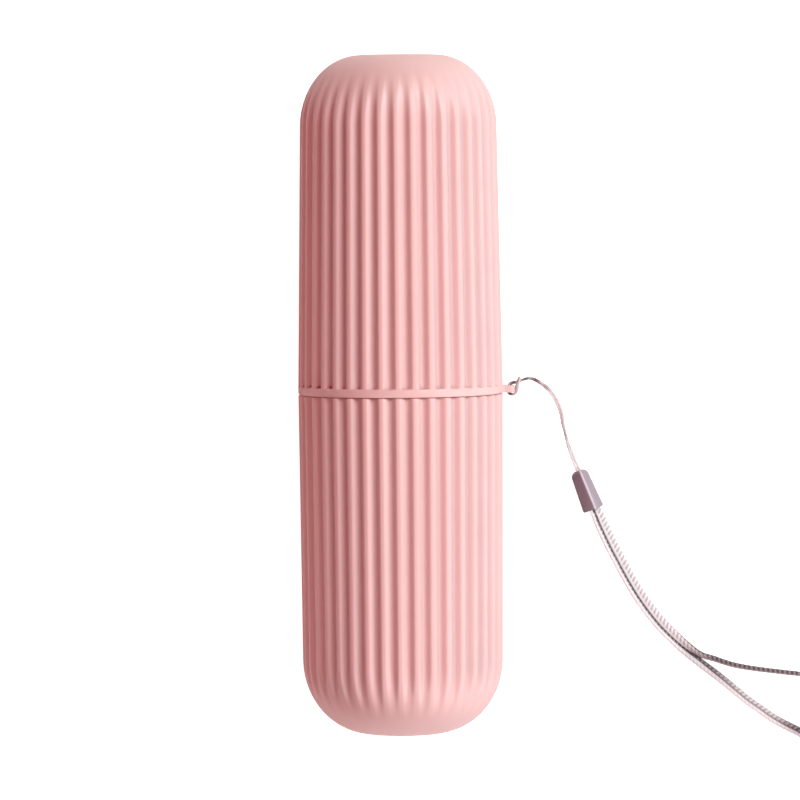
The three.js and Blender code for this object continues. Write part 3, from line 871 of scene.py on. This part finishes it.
capShell = turnedPiece("capShell", capProfile(), pinkPlastic, ribSettings)
strapEye = makeEye(eye)
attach(capShell, "cap")
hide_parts("upper_cap")
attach(strapEye, "cap")

cupShell = turnedPiece("cupShell", cupProfile(), pinkPlastic, ribSettings)
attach(cupShell, "cup")
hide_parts("lower_cup")

smoothPlastic = maskedMaterial(
    "smoothPinkPlastic", sleeve["finish"], "valley", sleeve["colour"], sleeve["deep"],
)
neckRing = turnedPiece("neckRing", sleeveProfile(), smoothPlastic, plainSettings)
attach(neckRing, "cap")
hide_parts("neck_sleeve")
print("case made")

# The connector: a ridged sleeve, open at its mouth, with a slot for the string at its top
connector = {
    "length": 12.45,
    "topWidth": 5.15,
    "mouthWidth": 6.5,
    "ridgeShift": (0.5, 0.6),  # how far the ridge lies off the middle, at the top and at the mouth
    "height": 4.1,
    "shoulder": 2.5,
    "ridgeWidth": 0.45,
    "wall": 0.55,
    "endWall": 1.5,
    "x": 53.19,
    "y": -24.82,
    "heading": math.radians(21.4),
    "centreHeight": 1.6,
    "topRound": 1.7,
    "mouthRound": 0.5,
    "lip": (0.12, 0.08),  # how the mouth's inner edge is cut, across and along
    "roundness": 16.0,
    "sides": 96,
    "hole": (2.6, 1.5),
    "holeSquareness": 0.5,
    "holeFlare": 1.06,
    "holeEdge": 0.12,
    "endTaper": 0.9,
    "rings": (9, 12, 6, 8),  # round the top, along the body, round the mouth, inside
    "bodyMargins": (0.8, 0.1),  # how far the body's rings stay off the two rounds, and the inner ones off
    "insideMargins": (1.0, 0.2),  # the mouth and the end wall
    "mouthStart": 0.3,  # radians into the mouth's round at which its rings begin
    "colour": (0.15, 0.105, 0.135),
    # painted highlight colour, for the ridge and for the lit right face
    "paintedLightAndShade": (0.77, 0.745, 0.83),
    "ridgeHighlight": (0.9, 0.3),  # how pale the painted highlight along the ridge is, and how far it reaches from it
    # how far the right face is painted lighter, as if lit
    "paintedLitSide": 0.28,
    "inside": (0.13, 0.08, 0.105),
    "coat": 0.8,
    "coatRoughness": 0.25,
    "finish": {"grain": 5000.0, "blotch": 150.0, "bump": 0.08, "bumpDepth": 0.03,
               "roughness": (0.3, 0.4), "tone": 0.06},
    "insideFinish": {"grain": 5000.0, "blotch": 150.0, "bump": 0.1, "bumpDepth": 0.04,
                     "roughness": (0.45, 0.6), "tone": 0.05},
}


def between(ends, share):
    return ends[0] + (ends[1] - ends[0]) * share


def roofRing(spec, width, shift, inset, count):  # the section's rounded outline, as points round its centre
    turn = np.linspace(0, 2 * math.pi, count, endpoint=False)
    direction = np.stack([np.cos(turn), np.sin(turn)], axis=1)
    centre = spec["centreHeight"]
    half, ridgeHalf = width / 2, spec["ridgeWidth"] / 2
    eaves, top = spec["shoulder"] - centre, spec["height"] - centre
    planes = [((0.0, -1.0), centre), ((1.0, 0.0), half), ((-1.0, 0.0), half), ((0.0, 1.0), top)]
    for side in (1, -1):
        slope = math.atan2(top - eaves, half - side * shift - ridgeHalf)
        distance = half * math.sin(slope) + eaves * math.cos(slope)
        planes.append(((side * math.sin(slope), math.cos(slope)), distance))
    total = np.zeros(count)
    for normal, distance in planes:
        facing = np.maximum(direction @ np.array(normal), 1e-6) / (distance - inset)
        total += facing ** spec["roundness"]
    return direction * (total ** (-1 / spec["roundness"]))[:, None]


def makeConnector(spec):
    length, wall, count = spec["length"], spec["wall"], spec["sides"]
    topRound, mouthRound, endWall = spec["topRound"], spec["mouthRound"], spec["endWall"]
    lipAcross, lipAlong = spec["lip"]
    topRings, bodyRings, mouthRings, insideRings = spec["rings"]
    outer = []  # distance from the top, and how far the ring is drawn in
    for turn in np.linspace(math.pi / 2, 0, topRings):
        outer.append((topRound * (1 - math.sin(turn)), topRound * (1 - math.cos(turn))))
    start, end = spec["bodyMargins"]
    for along in np.linspace(topRound + start, length - mouthRound - end, bodyRings):
        outer.append((along, 0.0))
    for turn in np.linspace(spec["mouthStart"], math.pi / 2, mouthRings):
        outer.append((length - mouthRound * (1 - math.sin(turn)), mouthRound * (1 - math.cos(turn))))
    start, end = spec["insideMargins"]
    inner = [(length, wall - lipAcross), (length - lipAlong, wall)]
    inner += [(along, wall) for along in np.linspace(length - start, endWall + end, insideRings)]
    rings, paintedLightAndShade = [], []
    # painted light: a highlight along the ridge, and the right face painted lighter as if lit, on the upper
    # half of the outside only
    highlight, reach = spec["ridgeHighlight"]
    for along, inset in outer + inner:
        width = between((spec["topWidth"], spec["mouthWidth"]), along / length)
        ridge = between(spec["ridgeShift"], along / length)
        ring = roofRing(spec, width, ridge, inset, count)
        rings.append((along, ring))
        away = (ring[:, 0] - ridge) / reach
        share = np.maximum(highlight * np.exp(-(away ** 2)), spec["paintedLitSide"] * smoothStep(away + 0.5))
        paintedLightAndShade.append(share * (ring[:, 1] > 0) * (len(paintedLightAndShade) < len(outer)))
    turn = np.linspace(0, 2 * math.pi, count, endpoint=False)
    holeRing = np.stack([np.cos(turn), np.sin(turn)], axis=1)
    holeRing = np.sign(holeRing) * np.abs(holeRing) ** spec["holeSquareness"] * np.array(spec["hole"]) / 2
    topFace = outer[0][0]
    rings = [(topFace, holeRing * spec["holeFlare"]), *rings, (endWall, rings[-1][1] * spec["endTaper"])]
    rings += [(endWall, holeRing), (topFace + spec["holeEdge"], holeRing)]
    clear = np.zeros(count)
    paintedLightAndShade = [clear, *paintedLightAndShade, clear, clear, clear]
    across = np.array((math.cos(spec["heading"]), math.sin(spec["heading"]), 0.0))
    forward = np.array((math.sin(spec["heading"]), -math.cos(spec["heading"]), 0.0))
    origin = np.array((spec["x"] + caseLie["axisX"], spec["y"], spec["centreHeight"]))
    verts = []
    for along, ring in rings:
        for x, z in ring:
            verts.append(origin + forward * along + across * x + np.array((0.0, 0.0, z)))
    faces = []
    for i in range(len(rings)):
        for j in range(count):
            k, n = (j + 1) % count, (i + 1) % len(rings)
            faces.append((i * count + j, i * count + k, n * count + k, n * count + j))
    made = meshObject("ridgedConnector", np.array(verts) * mm, faces)
    faceOutwards(made)
    pointAttribute(made, "paintedLightAndShade", np.concatenate(paintedLightAndShade))
    material = maskedMaterial("mauvePlastic", spec["finish"], "paintedLightAndShade", spec["colour"], spec["paintedLightAndShade"])
    shader = principled(material.node_tree)
    shader.inputs["Coat Weight"].default_value = spec["coat"]
    shader.inputs["Coat Roughness"].default_value = spec["coatRoughness"]
    made.data.materials.append(material)
    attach(made, "cap")
    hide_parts("connector_sleeve")
    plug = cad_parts["connector_plug"]
    inside = maskedMaterial("darkMauvePlastic", spec["insideFinish"], "paintedLightAndShade", spec["inside"], spec["inside"])
    plug.data.materials.clear()
    plug.data.materials.append(inside)
    print("connector made")


makeConnector(connector)

# A plain pale table and soft studio light from the upper right, in metres and watts
light = {
    "table": (0.93, 0.93, 0.93),
    "tableRoughness": 0.9,
    "tableSheen": 0.2,
    "tableGlow": 0.8,  # of the table and of the world past it: seen by the camera alone, it lights nothing
    "tableSize": 4.0,
    "sky": (1.0, 1.0, 1.0),
    "skyStrength": 0.005,
    "aim": (0.0, 0.0, 0.03),
    "lamps": {  # direction from the case, watts, colour
        "keyLight": ((0.470, 0.574, 0.671), 8.3, (1.0, 1.0, 1.0)),
        "nearLight": ((0.709, -0.574, 0.410), 5.1, (1.0, 0.88, 0.91)),
        "sideLight": ((0.819, 0.0, 0.574), 2.1, (1.0, 1.0, 1.0)),
        "topLight": ((-0.280, -0.574, 0.770), 2.8, (1.0, 1.0, 1.0)),
        "warmFill": ((-0.574, 0.0, 0.819), 2.4, (1.0, 0.03, 0.03)),
    },
    "lampSize": 0.5,
    "lampDistance": 1.0,
}


def areaLight(name, direction, power, colour, spec):
    data = bpy.data.lights.new(name, "AREA")
    data.shape = "DISK"
    data.size = spec["lampSize"]
    data.energy = power
    data.color = colour
    made = bpy.data.objects.new(name, data)
    away = Vector(direction)
    made.location = Vector(spec["aim"]) + away * spec["lampDistance"]
    made.rotation_euler = away.to_track_quat("Z", "Y").to_euler()
    scene.collection.objects.link(made)


def makeStage(spec):
    half = spec["tableSize"] / 2
    corners = [(-half, -half, 0.0), (half, -half, 0.0), (half, half, 0.0), (-half, half, 0.0)]
    table = meshObject("table", corners, [(0, 1, 2, 3)], smooth=False)
    material, tree, shader = newMaterial("paleTable")
    shader.inputs["Base Color"].default_value = (*spec["table"], 1.0)
    shader.inputs["Roughness"].default_value = spec["tableRoughness"]
    shader.inputs["Specular IOR Level"].default_value = spec["tableSheen"]
    shader.inputs["Emission Color"].default_value = (1.0, 1.0, 1.0, 1.0)
    seen = addNode(tree, "ShaderNodeLightPath")
    glow = addNode(tree, "ShaderNodeMath", operation="MULTIPLY")
    glow.inputs[1].default_value = spec["tableGlow"]
    wire(tree, (
        (seen.outputs["Is Camera Ray"], glow.inputs[0]),
        (glow.outputs[0], shader.inputs["Emission Strength"]),
    ))
    table.data.materials.append(material)
    world = bpy.data.worlds.new("studio")
    world.use_nodes = True
    tree = world.node_tree
    back = tree.nodes["Background"]
    back.inputs["Color"].default_value = (*spec["sky"], 1.0)
    seen = addNode(tree, "ShaderNodeLightPath")
    strength = addNode(tree, "ShaderNodeMapRange")
    strength.inputs["To Min"].default_value = spec["skyStrength"]
    strength.inputs["To Max"].default_value = spec["tableGlow"]
    wire(tree, (
        (seen.outputs["Is Camera Ray"], strength.inputs["Value"]),
        (strength.outputs["Result"], back.inputs["Strength"]),
    ))
    scene.world = world
    for name, (direction, power, colour) in spec["lamps"].items():
        areaLight(name, direction, power, colour, spec)
    scene.view_settings.view_transform = "Standard"
    scene.view_settings.look = "None"


makeStage(light)
print("stage made")
